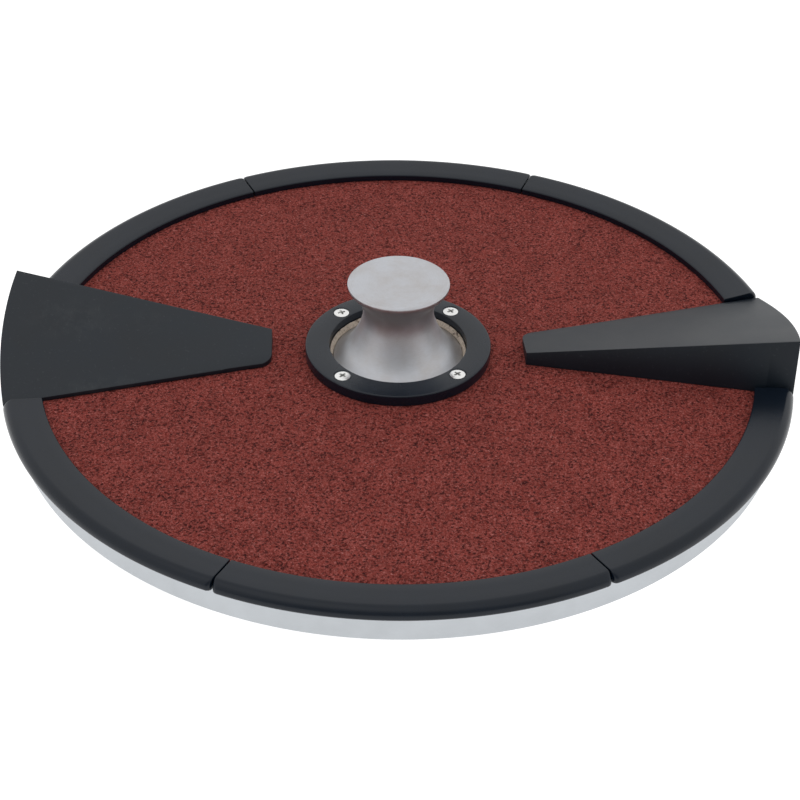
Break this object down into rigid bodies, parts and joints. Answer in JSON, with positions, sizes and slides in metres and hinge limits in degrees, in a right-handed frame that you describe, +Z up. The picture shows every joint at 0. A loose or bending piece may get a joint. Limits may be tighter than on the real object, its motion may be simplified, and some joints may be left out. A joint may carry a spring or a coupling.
{
  "type": "abrasive turntable",
  "caption": "Round turntable with a flat abrasive mat, segmented dark edge trim, two opposed wedge ramps, a screwed clamp ring and a waisted metal lifting knob.",
  "frame": {"origin": "centre of the base underside, on the spindle's axis", "axes": "+Z up along the spindle's axis; +X through the middle of the two ramps; -Y is the front"},
  "size_m": [0.3992, 0.4, 0.0607],
  "materials": {
    "abrasive": "coarse brick-red abrasive grit on a fibre mat",
    "trim_polymer": "satin blue-black",
    "ramp_polymer": "satin blue-black with light scuffs",
    "ring_polymer": "smooth dark blue-black",
    "plate_metal": "smooth light grey",
    "knob_metal": "turned satin",
    "screw_steel": "bright",
    "gasket_fibre": "tan fibre",
    "spindle_steel": "ground steel",
    "bush_bronze": "bearing bronze",
    "cast_base": "painted grey casting",
    "foot_rubber": "matt black"
  },
  "bodies": {
    "base": {"base_housing": "cast_base", "foot_ring": "foot_rubber", "lower_bush": "bush_bronze", "upper_bush": "bush_bronze"},
    "spindle": {"drive_spindle": "spindle_steel", "drive_pin": "spindle_steel", "thrust_washer": "spindle_steel", "retaining_clip": "spindle_steel"},
    "wheel": {"carrier_plate": "plate_metal", "abrasive_mat": "abrasive", "trim_back": "trim_polymer", "trim_front": "trim_polymer", "trim_back_right": "trim_polymer", "trim_back_left": "trim_polymer", "trim_front_left": "trim_polymer", "trim_front_right": "trim_polymer", "ramp_right": "ramp_polymer", "ramp_left": "ramp_polymer", "clamp_ring": "ring_polymer", "hub_gasket": "gasket_fibre", "lifting_knob": "knob_metal", "drive_socket": "spindle_steel", "ring_screw_1": "screw_steel", "ring_screw_2": "screw_steel", "ring_screw_3": "screw_steel", "ring_screw_4": "screw_steel", "ring_nut_1": "screw_steel", "ring_nut_2": "screw_steel", "ring_nut_3": "screw_steel", "ring_nut_4": "screw_steel", "trim_screw_1": "screw_steel", "trim_screw_2": "screw_steel", "trim_screw_3": "screw_steel", "trim_screw_4": "screw_steel", "trim_screw_5": "screw_steel", "trim_screw_6": "screw_steel", "trim_screw_7": "screw_steel", "trim_screw_8": "screw_steel", "trim_screw_9": "screw_steel", "trim_screw_10": "screw_steel", "trim_screw_11": "screw_steel", "trim_screw_12": "screw_steel", "ramp_screw_1": "screw_steel", "ramp_screw_2": "screw_steel", "ramp_screw_3": "screw_steel", "ramp_screw_4": "screw_steel", "knob_screw_1": "screw_steel", "knob_screw_2": "screw_steel", "knob_screw_3": "screw_steel", "knob_screw_4": "screw_steel"}
  },
  "joints": [
    {"name": "spindle_turn", "type": "hinge", "parent": "base", "child": "spindle", "pos_m": [0, 0, 0.02], "axis": [0, 0, 1], "continuous": true},
    {"name": "wheel_lift", "type": "slide", "parent": "spindle", "child": "wheel", "axis": [0, 0, 1], "range_m": [0, 0.045]}
  ]
}
